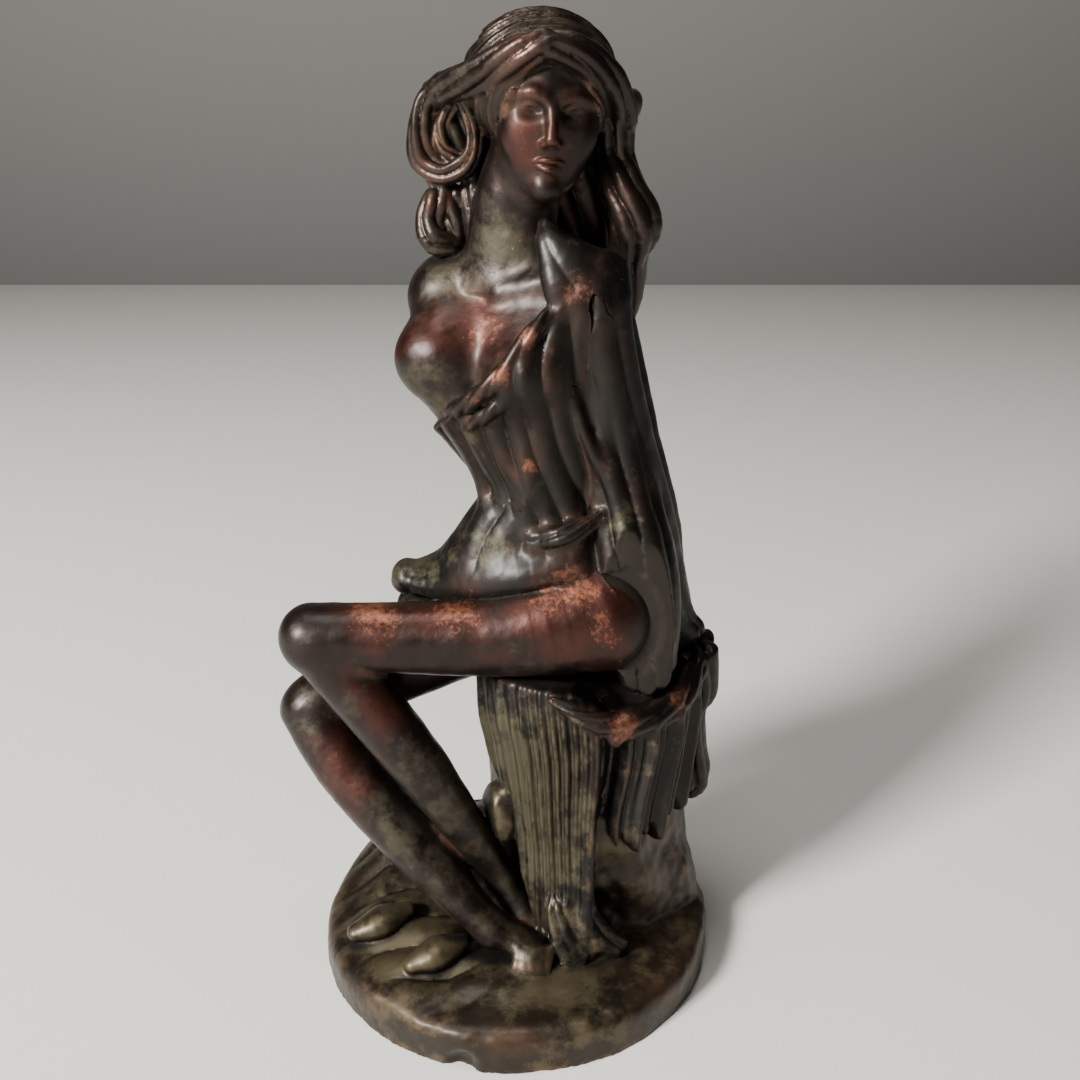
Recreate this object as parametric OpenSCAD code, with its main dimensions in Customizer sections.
// Bronze statuette: a draped woman seated on a cloth-covered rock, on a round
// mound base. The figure is divided into castings the way a small sectional
// bronze is: base, rock, drapery, torso, limbs, head and hair, pinned together.
// Frame: +Z up, +X to the right of the front view, -Y towards the viewer,
// origin at the centre of the base's underside. Millimetres.

/* [Base] */
// Radius of the base where it meets the table
base_r = 27; // [26:0.5:28]
// Height of the base's rim
rim_h = 5.6; // [5:0.2:6.4]
// Height of the ground in the middle of the base
ground_h = 6.6; // [6.2:0.2:7.4]
// Depth of the cast relief under the base
relief_h = 1.6; // [1:0.2:2.4]

/* [Hardware] */
// Diameter of the fixing stud that holds the figure down on its base
stud_d = 3; // [2.5:0.5:3]
// Diameter of the locating dowels between castings
dowel_d = 2; // [1.6:0.2:2.2]
// Diameter of the pins at the neck, arms and knees
pin_d = 1.4; // [1.2:0.1:1.6]

/* [Drapery] */
// How much the hanging folds swell and sink, as a share of their section
fold_depth = 0.09; // [0.03:0.01:0.13]
// Thickness of the garment over the torso
garment_t = 0.9; // [0.6:0.1:1.2]

/* [Smoothness] */
// Sides of a limb's section
limb_sides = 16; // [12:2:18]

/* [Hidden] */

dark_bronze = "#3b2a20";
red_bronze = "#5b3424";
olive_bronze = "#5c5438";
steel_grey = "#8d8f92";
yellow_brass = "#a98a4c";

// Where the fixing stud stands, and the heights of its parts
stud_at = [7, 2];
stud_low = 0.8;
stud_top = 24;
nut_low = 1.2;
nut_h = 2.4;
nut_across = 5.5;
washer_r = 3.4;
washer_t = 0.5;
pocket_r = 3.8;
pocket_h = nut_low + nut_h + washer_t;
base_dowel_at = [[5, 9], [16, -4]];
base_dowel_z = [2.6, 12];
seat_dowel_at = [[4, -1], [11, 5]];
seat_dowel_z = [34, 49];
neck_pin_at = [1.9, -0.8];
neck_pin_z = [90, 104];

// Pins: [start, end] inside the two castings that each one joins
limb_pin_ends = [
    [[9, -2, 51], [9, -10, 51]],
    [[9, 2, 49], [9, 8, 49]],
    [[-22, -8.6, 49], [-18, -8.8, 41]],
    [[-26, -1.2, 37], [-23, -2.8, 30]],
    [[8, -4.2, 88], [12, -6.5, 87]],
    [[-6, 2.5, 88.5], [-9.5, 4.5, 88.5]]];

// Directions that a section's half width is measured along
across_x = [1, 0, 0];
across_y = [0, 1, 0];
across_z = [0, 0, 1];

// Stations: x, y, z, half width, half depth, turn of the section in degrees
torso_line = [
    [8.5, 0.5, 44.5, 10.5, 8.5, -78], [8.5, 0, 50, 11, 8.5, -76], [6.8, -0.5, 57, 9, 7.6, -68],
    [3.8, -1, 64.5, 7.4, 6, -56], [1.6, -1.2, 73, 8.4, 6.4, -45], [0.6, -1.2, 81, 9.4, 6.8, -42],
    [0.8, -0.8, 87.5, 10.8, 5.8, -42], [1.4, -0.6, 92, 8.6, 4.6, -40], [1.9, -0.8, 95, 4.8, 4.2, -30]];
bust_far_line = [[-3.6, -1.4, 83.6, 5, 5.4, 0], [-9.6, -4.6, 81.8, 3.5, 3.6, 0]];
bust_near_line = [[2.2, -5.6, 83.6, 5, 5.4, 0], [-1.4, -9.6, 82, 3.5, 3.6, 0]];

near_thigh_line = [[11, -5.6, 52, 7, 7.6, 0], [4, -7.2, 50.4, 6.2, 6.4, 0], [-4, -8, 49, 4.9, 5, 0],
    [-13, -8.3, 49, 4.2, 4.3, 0], [-24, -8.5, 49.4, 4.2, 4.2, 0]];
near_shin_line = [[-23.6, -8.5, 48.4, 3.8, 4, 0], [-19, -8.8, 42, 3.6, 3.9, 0],
    [-12, -9, 32, 3.3, 3.6, 0], [-6, -8, 21.6, 2.7, 2.8, 0], [-1.6, -7, 14, 2.2, 2.2, 0]];
near_foot_line = [[-1.6, -7.2, 13, 2.1, 2.1, 0], [0.8, -8.4, 9.8, 2.3, 1.9, 0], [4.4, -10.4, 7.8, 2.1, 1.2, 0]];
far_thigh_line = [[9, 5.6, 50, 7, 7.2, 0], [-2, 4.6, 46, 5.8, 6, 0], [-14, 2, 41, 4.8, 5, 0],
    [-27, -1, 36, 4, 4, 0]];
far_shin_line = [[-27.2, -1, 35.4, 3.8, 4, 0], [-22.6, -3, 29, 3.7, 4, 0],
    [-15, -6.6, 21.4, 3.4, 3.7, 0], [-7.4, -10.6, 13.6, 2.7, 2.8, 0], [-2.6, -12.6, 9.8, 2.3, 2.3, 0]];
far_foot_line = [[-3.4, -12.4, 9.4, 2.2, 2.3, 0], [-0.4, -13.6, 8.2, 2.5, 2, 0], [5.6, -15.4, 6.9, 2.3, 1, 0]];

near_arm_line = [[10.6, -6, 89.6, 3.6, 3.9, 0], [13, -5, 82, 3.1, 3.3, 0], [16, -2, 70, 2.7, 2.9, 0],
    [19, 1, 58, 2.4, 2.6, 0], [21.4, 3, 47.6, 2, 2.1, 0], [22.4, 3.2, 44.6, 2.4, 1.5, 0]];
far_arm_line = [[-8, 3.8, 89.4, 3.4, 3.5, 0], [-6.4, 8.5, 82, 3, 3.1, 0], [-2, 14, 72, 2.7, 2.8, 0],
    [5, 15.4, 58, 2.4, 2.5, 0], [11, 14.2, 47.4, 2, 2, 0], [12.6, 13.6, 44.8, 2.4, 1.4, 0]];

rock_line = [[11, 2.4, 4, 12.6, 12.4, 0], [11, 2, 12, 12.4, 12, 4], [10, 1.2, 22, 13.6, 12, 8],
    [9.4, 1.4, 32, 14.6, 12.6, 4], [9.2, 1.6, 41, 15, 13, 0]];
cloth_line = [[10.6, 1.8, 8, 14.6, 15.2, 0], [10.6, 1.4, 14, 14.2, 14.6, 4], [10, 1.2, 24, 15, 13.8, 8],
    [9.4, 1.4, 34, 15.8, 14.2, 4], [9.2, 1.4, 41.7, 16, 14.8, 0]];
corner_line = [[22.6, 3, 42.2, 3.6, 5, 0], [23.8, 3.2, 38, 2.8, 5, 0], [23.6, 3, 31, 2.2, 4.4, 0],
    [23.2, 3, 25.4, 1.4, 3, 0]];

lap_line = [[11, -3, 59.4, 5, 3, 0], [4, -4.6, 58, 4.4, 3, 0], [-4, -2.6, 55, 4, 2.8, 0], [-13.6, 1.2, 52.4, 3.2, 2.8, 0]];
lap_back_line = [[11.6, 6, 58, 5.4, 3.2, 0], [2, 6.6, 56.6, 5, 3, 0], [-8, 5, 51.4, 4.6, 2.6, 0],
    [-14, 3, 48.6, 4, 2.2, 0]];

cloak_line = [[9.4, -1.6, 93, 5.6, 3.4, -30], [10.6, 0, 86, 6.4, 5, -16], [12, 2.2, 74, 7, 5.6, 0],
    [14, 4, 62, 8, 6, 6], [16.4, 5.6, 50, 8.4, 7, 8], [17.4, 6, 43.6, 8.2, 7.2, 8]];

neck_line = [[1.8, -0.8, 93.6, 4, 4, 0], [2.2, -1, 99, 4.1, 4.3, 0], [3.2, -2, 104, 4.4, 5, 0]];
skull_line = [[3.8, -5, 101.2, 2.6, 2.6, 0], [4, -3.8, 105, 5.4, 5.8, 0], [4.2, -3, 110, 6.4, 7.4, 0],
    [4.2, -2.4, 112.6, 5.6, 6.4, 0]];
cap_line = [[3.6, 2, 100.6, 6.4, 4.6, 0], [3.8, 0.6, 106, 8, 6.8, 0], [3.4, -1, 111, 8.4, 8.4, 0],
    [2.8, -1.6, 114.8, 7.2, 7.4, 0], [2.4, -1.6, 117, 4.6, 4.8, 0]];
face_opening = [4.2, -9.6, 106.6];

roll_front_line = [[-6.6, -4.6, 110.6, 1.6, 1.5, 0], [-3, -8.4, 113.6, 1.9, 1.6, 0], [3, -9.8, 116, 1.6, 1.5, 0],
    [8.6, -7.8, 113.4, 1.8, 1.6, 0], [11.6, -3, 109.4, 1.5, 1.5, 0]];
loop_centre = [-7.2, 0, 106.6];
loop_r = 3.4;
loop_stretch = 1.3;
loop_wire = 1.5;
roll_left_line = [[-6, 2, 100.6, 2, 2, 0], [-8.6, 1.4, 98.6, 2.2, 2.4, 0], [-8.6, 0.8, 95.6, 2.1, 2.2, 0], [-5.6, 1.6, 94, 1.5, 1.5, 0]];
fall_right_line = [[11, 0, 110, 2.4, 3.4, 0], [12.6, 0.8, 103, 3, 4, 0], [13.4, 0.6, 97, 3.4, 4, 0],
    [12.8, 2.4, 90, 2.8, 3.4, 0], [11.6, 4.6, 83, 1.6, 2.4, 0]];
fall_back_line = [[4, 6.4, 108, 6.6, 3.2, 0], [4.6, 7.4, 101, 7, 3.4, 0], [5.4, 6.6, 94, 6.2, 3.4, 0], [6, 7.4, 87, 3.6, 2.6, 0]];

knot_line = [[5, -8, 88.4, 2, 1.6, 0], [7.6, -9.2, 91, 3, 2.2, 0], [8.6, -6.6, 95, 2.8, 2, 0]];
neckline_line = [[7.4, -9.4, 91, 1.2, 1.2, 0], [2.6, -10.4, 86.4, 1.2, 1.2, 0], [-3, -11, 80.6, 1.2, 1.2, 0],
    [-8, -8, 76.4, 1.1, 1.1, 0], [-9.4, -1.6, 75.4, 0.9, 0.9, 0]];

// --- small functions -----------------------------------------------------
function unit(v) = v / norm(v);
function place(s) = [s[0], s[1], s[2]];

// A smooth curve through the stations: between two of them the four nearest
// are weighted by the cubic that keeps both place and direction continuous.
function between(s, i, t) = let (
    p0 = s[max(i - 1, 0)], p1 = s[i], p2 = s[i + 1], p3 = s[min(i + 2, len(s) - 1)])
    0.5 * (2 * p1 + (p2 - p0) * t + (2 * p0 - 5 * p1 + 4 * p2 - p3) * t * t
        + (3 * p1 - p0 - 3 * p2 + p3) * t * t * t);
function smoothed(s, steps) = [
    for (i = [0:len(s) - 2]) for (k = [0:steps - 1]) between(s, i, k / steps), s[len(s) - 1]];

function heading(s, i) = unit(place(s[min(i + 1, len(s) - 1)]) - place(s[max(i - 1, 0)]));

// One closed section: an ellipse square to the heading, with a few swells.
function section(centre, t, ref, half, turn, sides, folds, depth) = let (
    u0 = unit(ref - t * (ref * t)), v0 = cross(t, u0),
    u = u0 * cos(turn) + v0 * sin(turn), v = v0 * cos(turn) - u0 * sin(turn))
    [for (k = [0:sides - 1]) let (a = 360 * k / sides, swell = 1 + depth * cos(folds * a))
        centre + u * half[0] * swell * cos(a) + v * half[1] * swell * sin(a)];

// Sections along the line, and three shrinking ones that dome each end.
dome_angles = [62, 36, 14];
flat_dome = 0.12;
function all_sections(s, ref, sides, folds, depth, dome) = let (
    n = len(s) - 1,
    t0 = heading(s, 0), t1 = heading(s, n),
    h0 = dome * min(s[0][3], s[0][4]), h1 = dome * min(s[n][3], s[n][4]))
    concat(
        [for (a = dome_angles) section(place(s[0]) - t0 * h0 * sin(a), t0, ref,
            [s[0][3], s[0][4]] * cos(a), s[0][5], sides, folds, depth)],
        [for (i = [0:n]) section(place(s[i]), heading(s, i), ref,
            [s[i][3], s[i][4]], s[i][5], sides, folds, depth)],
        [for (k = [2:-1:0]) let (a = dome_angles[k]) section(place(s[n]) + t1 * h1 * sin(a), t1,
            ref, [s[n][3], s[n][4]] * cos(a), s[n][5], sides, folds, depth)]);

// --- building blocks -----------------------------------------------------
// A closed skin over sections carried along a line of stations.
// dome is the height of each rounded end, as a share of its smaller half size.
module skin_along(stations, ref, sides = limb_sides, steps = 2, folds = 0, depth = 0, dome = 1) {
    s = smoothed(stations, steps);
    n = len(s) - 1;
    rings = all_sections(s, ref, sides, folds, depth, dome);
    m = len(rings);
    pole0 = place(s[0]) - heading(s, 0) * dome * min(s[0][3], s[0][4]);
    pole1 = place(s[n]) + heading(s, n) * dome * min(s[n][3], s[n][4]);
    last = m * sides + 1;
    points = concat([pole0], [for (r = rings) for (p = r) p], [pole1]);
    polyhedron(points, concat(
        [for (k = [0:sides - 1]) [0, 1 + k, 1 + (k + 1) % sides]],
        [for (j = [0:m - 2]) for (k = [0:sides - 1]) let (
            a = 1 + j * sides + k, b = 1 + j * sides + (k + 1) % sides)
            [a, a + sides, b]],
        [for (j = [0:m - 2]) for (k = [0:sides - 1]) let (
            a = 1 + j * sides + k, b = 1 + j * sides + (k + 1) % sides)
            [b, a + sides, b + sides]],
        [for (k = [0:sides - 1]) let (a = 1 + (m - 1) * sides)
            [last, a + (k + 1) % sides, a + k]]), convexity = 6);
}

// One closed surface over a sculpted casting, whatever it is made up of.
module one_skin() resize([0, 0, 0]) children();

// A round rod between two points, used for pins and for their holes.
module rod(ends, d) {
    along = ends[1] - ends[0];
    translate(ends[0])
        rotate([0, acos(along[2] / norm(along)), atan2(along[1], along[0])])
            cylinder(h = norm(along), d = d, $fn = 32);
}

module upright(at, z, d) translate([at[0], at[1], z[0]]) cylinder(h = z[1] - z[0], d = d, $fn = 48);

// --- forms, before they are cut to fit each other --------------------------
module base_blank() rotate_extrude($fn = 96) polygon(concat(
    [[0, 0], [base_r - 0.8, 0]],
    [for (a = [-60:30:90]) [base_r - 1.6 + 1.6 * cos(a), 1.6 + 1.6 * sin(a)] + [0, max(0, a) / 90 * (rim_h - 3.2)]],
    [[base_r - 4, rim_h - 0.4], [16, ground_h - 0.4], [0, ground_h]]));

module pod(a, b, r) {
    rod([a, b], 2 * r);
    translate(a) sphere(r, $fn = 32);
    translate(b) sphere(r * 0.98, $fn = 32);
}

module rock_form() skin_along(rock_line, across_x, 20, 2, 5, 0.035, flat_dome);
module cloth_form() skin_along(cloth_line, across_x, 40, 2, 10, fold_depth / 2, flat_dome);
module corner_form() skin_along(corner_line, across_x, 16, 2, 4, fold_depth);
module torso_form() {
    skin_along(torso_line, across_x, 20);
    skin_along(bust_far_line, across_z);
    skin_along(bust_near_line, across_z);
}
module near_thigh_form() skin_along(near_thigh_line, across_y);
module near_shin_form() {
    skin_along(near_shin_line, across_y);
    skin_along(near_foot_line, across_y, 12);
}
module far_thigh_form() skin_along(far_thigh_line, across_y);
module far_shin_form() {
    skin_along(far_shin_line, across_y);
    skin_along(far_foot_line, across_y, 12);
}
module near_arm_form() skin_along(near_arm_line, across_x, 12);
module far_arm_form() skin_along(far_arm_line, across_x, 12);
module cloak_form() skin_along(cloak_line, across_x, 20, 2, 5, fold_depth);
module lap_form() {
    skin_along(lap_line, across_y, 14, 2, 3, fold_depth);
    skin_along(lap_back_line, across_y, 14, 2, 3, fold_depth);
}
module head_form() {
    skin_along(neck_line, across_x, 14);
    skin_along(skull_line, across_x, 20);
}
module cap_form() skin_along(cap_line, across_x, 20, 2, 7, 0.03, 0.4);
module garment_form() {
    stations = [for (i = [2:6]) torso_line[i] + [0, 0, 0, garment_t, garment_t, 0]];
    skin_along(stations, across_x, 20);
    skin_along([for (s = bust_near_line) s + [0, 0, 0, garment_t, garment_t, 0]], across_z);
}

// Everything above the line of the garment's rolled edge stays bare.
module above_neckline() translate([-14, -4, 91]) rotate([0, -42, 0]) cube([44, 44, 30], center = true);

// --- the pieces -----------------------------------------------------------
module base_mound() color(olive_bronze) difference() {
    union() {
        base_blank();
        pod([-20, -9.5, ground_h - 0.6], [-15, -7.5, ground_h - 0.4], 1.9);
        pod([-12, -15.8, ground_h - 0.6], [-7, -13.4, ground_h - 0.4], 1.8);
    }
    // relief under the casting: a ring between the foot and the middle boss
    translate([0, 0, -1]) difference() {
        cylinder(h = relief_h + 1, r = base_r - 5, $fn = 96);
        translate([0, 0, -1]) cylinder(h = relief_h + 3, r = 12, $fn = 64);
    }
    upright(stud_at, [-1, pocket_h], 2 * pocket_r);
    upright(stud_at, [0, ground_h + 2], stud_d + 0.2);
    for (p = base_dowel_at) upright(p, [base_dowel_z[0], ground_h + 2], dowel_d);
    // the small notch in the rim
    translate([-6.4, -27, 0.6]) sphere(2.2, $fn = 32);
}

module fixing_stud() color(steel_grey) upright(stud_at, [stud_low, stud_top], stud_d);

module fixing_washer() color(steel_grey) difference() {
    upright(stud_at, [nut_low + nut_h, pocket_h], 2 * washer_r);
    upright(stud_at, [0, ground_h], stud_d);
}

module fixing_nut() color(yellow_brass) difference() {
    translate([stud_at[0], stud_at[1], nut_low])
        cylinder(h = nut_h, d = nut_across / cos(30), $fn = 6);
    upright(stud_at, [0, ground_h], stud_d);
}

module base_dowels() color(yellow_brass) for (p = base_dowel_at) upright(p, base_dowel_z, dowel_d);
module seat_dowels() color(yellow_brass) for (p = seat_dowel_at) upright(p, seat_dowel_z, dowel_d);
module neck_dowel() color(yellow_brass) upright(neck_pin_at, neck_pin_z, dowel_d);
module limb_pins() color(yellow_brass) for (ends = limb_pin_ends) rod(ends, pin_d);

module rock_seat() color(dark_bronze) difference() {
    one_skin() difference() {
        rock_form();
        base_top_cut();
    }
    upright(stud_at, [0, stud_top], stud_d);
    for (p = base_dowel_at) upright(p, [0, base_dowel_z[1]], dowel_d);
    for (p = seat_dowel_at) upright(p, [seat_dowel_z[0], 50], dowel_d);
}

// The block of space that the base fills, for what stands on it.
module base_top_cut() base_blank();

module seat_cloth() color(olive_bronze) one_skin() difference() {
    cloth_form();
    rock_form();
    base_top_cut();
    torso_form();
    near_thigh_form();
    far_thigh_form();
    // open round the back: the cloth covers the front, the sides and the top
    translate([-20, 9.2, -1]) cube([60, 30, 40.4]);
    translate([-30, -30, 0]) cube([31.5, 60, 33.6]);
}

module corner_drape() color(red_bronze) one_skin() difference() {
    corner_form();
    rock_form();
    cloth_form();
    near_arm_form();
}

module torso() color(dark_bronze) difference() {
    one_skin() difference() {
        torso_form();
        rock_form();
    }
    for (p = seat_dowel_at) upright(p, [30, seat_dowel_z[1]], dowel_d);
    upright(neck_pin_at, [neck_pin_z[0], 110], dowel_d);
    for (i = [0, 1, 4, 5]) rod(limb_pin_ends[i], pin_d);
}

module bodice() color(olive_bronze) one_skin() difference() {
    union() {
        difference() {
            garment_form();
            above_neckline();
        }
        skin_along(knot_line, across_x, 12);
        skin_along(neckline_line, across_z, 10);
    }
    torso_form();
    near_thigh_form();
    near_arm_form();
    head_form();
}

module near_thigh() color(red_bronze) difference() {
    one_skin() difference() {
        near_thigh_form();
        torso_form();
        rock_form();
    }
    rod(limb_pin_ends[0], pin_d);
    rod(limb_pin_ends[2], pin_d);
}

module near_lower_leg() color(red_bronze) difference() {
    one_skin() difference() {
        near_shin_form();
        near_thigh_form();
        base_top_cut();
        rock_form();
        far_shin_form();
    }
    rod(limb_pin_ends[2], pin_d);
}

module far_thigh() color(dark_bronze) difference() {
    one_skin() difference() {
        far_thigh_form();
        torso_form();
        near_thigh_form();
        near_shin_form();
        rock_form();
    }
    rod(limb_pin_ends[1], pin_d);
    rod(limb_pin_ends[3], pin_d);
}

module far_lower_leg() color(dark_bronze) difference() {
    one_skin() difference() {
        far_shin_form();
        far_thigh_form();
        near_thigh_form();
        base_top_cut();
        rock_form();
    }
    rod(limb_pin_ends[3], pin_d);
}

module near_arm() color(dark_bronze) difference() {
    one_skin() difference() {
        near_arm_form();
        torso_form();
        rock_form();
        cloth_form();
    }
    rod(limb_pin_ends[4], pin_d);
}

module far_arm() color(dark_bronze) difference() {
    one_skin() difference() {
        far_arm_form();
        torso_form();
        rock_form();
        cloth_form();
    }
    rod(limb_pin_ends[5], pin_d);
}

module lap_drape() color(olive_bronze) one_skin() difference() {
    lap_form();
    torso_form();
    near_thigh_form();
    far_thigh_form();
    garment_form();
}

module cloak() color(dark_bronze) one_skin() difference() {
    cloak_form();
    torso_form();
    garment_form();
    near_arm_form();
    near_thigh_form();
    far_thigh_form();
    rock_form();
    cloth_form();
    corner_form();
    lap_form();
    far_arm_form();
    skin_along(knot_line, across_x, 12);
}

module head() color(red_bronze) difference() {
    one_skin() difference() {
        head_form();
        torso_form();
    }
    upright(neck_pin_at, [90, neck_pin_z[1]], dowel_d);
}

module hair_cap() color(dark_bronze) one_skin() difference() {
    union() {
        difference() {
            cap_form();
            translate(face_opening) scale([0.86, 0.8, 1.24]) sphere(6.6, $fn = 24);
        }
        skin_along(roll_front_line, across_z, 10);
        skin_along(fall_back_line, across_x, 14, 2, 4, fold_depth);
    }
    head_form();
    torso_form();
    garment_form();
    cloak_form();
}

module hair_loop_left() color(olive_bronze) one_skin() difference() {
    translate(loop_centre) rotate([90, 0, 20]) scale([1, loop_stretch, 1])
        rotate_extrude($fn = 24) translate([loop_r, 0]) circle(loop_wire, $fn = 12);
    cap_form();
    head_form();
}

module hair_roll_left() color(olive_bronze) one_skin() difference() {
    skin_along(roll_left_line, across_y, 12);
    head_form();
    torso_form();
    cap_form();
}

module hair_fall_right() color(dark_bronze) one_skin() difference() {
    skin_along(fall_right_line, across_x, 14, 2, 4, fold_depth);
    cap_form();
    skin_along(fall_back_line, across_x, 14, 2, 4, fold_depth);
    head_form();
    torso_form();
    near_arm_form();
    cloak_form();
    skin_along(roll_front_line, across_z, 10);
    skin_along(knot_line, across_x, 12);
}

base_mound();
fixing_stud();
fixing_washer();
fixing_nut();
base_dowels();
rock_seat();
seat_cloth();
corner_drape();
seat_dowels();
torso();
bodice();
near_thigh();
near_lower_leg();
far_thigh();
far_lower_leg();
near_arm();
far_arm();
limb_pins();
lap_drape();
cloak();
neck_dowel();
head();
hair_cap();
hair_loop_left();
hair_roll_left();
hair_fall_right();
